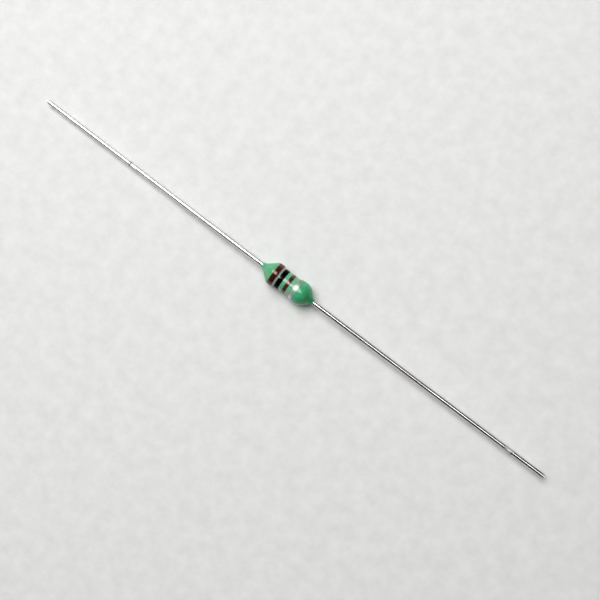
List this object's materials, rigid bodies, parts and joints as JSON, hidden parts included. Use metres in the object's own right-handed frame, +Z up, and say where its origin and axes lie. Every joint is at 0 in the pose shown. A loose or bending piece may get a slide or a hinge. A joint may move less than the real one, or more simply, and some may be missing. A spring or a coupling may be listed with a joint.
{
  "type": "axial inductor",
  "caption": "Colour-banded, resin-coated axial inductor: a wound ferrite drum core with a long straight tinned lead at each end.",
  "frame": {"origin": "on the surface the part lies on, under the middle of its body", "axes": "+X along the body towards the lead at the tolerance-band end, +Y across the body, +Z up; the first colour band is towards -X"},
  "size_m": [0.0637, 0.0026, 0.0025],
  "materials": {
    "green_epoxy": "gloss",
    "brown_paint": "gloss",
    "black_paint": "gloss",
    "silver_paint": "satin",
    "ferrite": "matte",
    "enamelled_copper": "gloss",
    "tinned_wire": "satin",
    "solder": "satin",
    "core_glue": "gloss"
  },
  "bodies": {
    "root": {"epoxy_coating": "green_epoxy", "band_first": "brown_paint", "band_second": "black_paint", "band_multiplier": "brown_paint", "band_tolerance": "silver_paint", "drum_core": "ferrite", "winding": "enamelled_copper", "lead_left": "tinned_wire", "lead_right": "tinned_wire", "solder_left": "solder", "solder_right": "solder", "glue_left": "core_glue", "glue_right": "core_glue"}
  },
  "joints": []
}
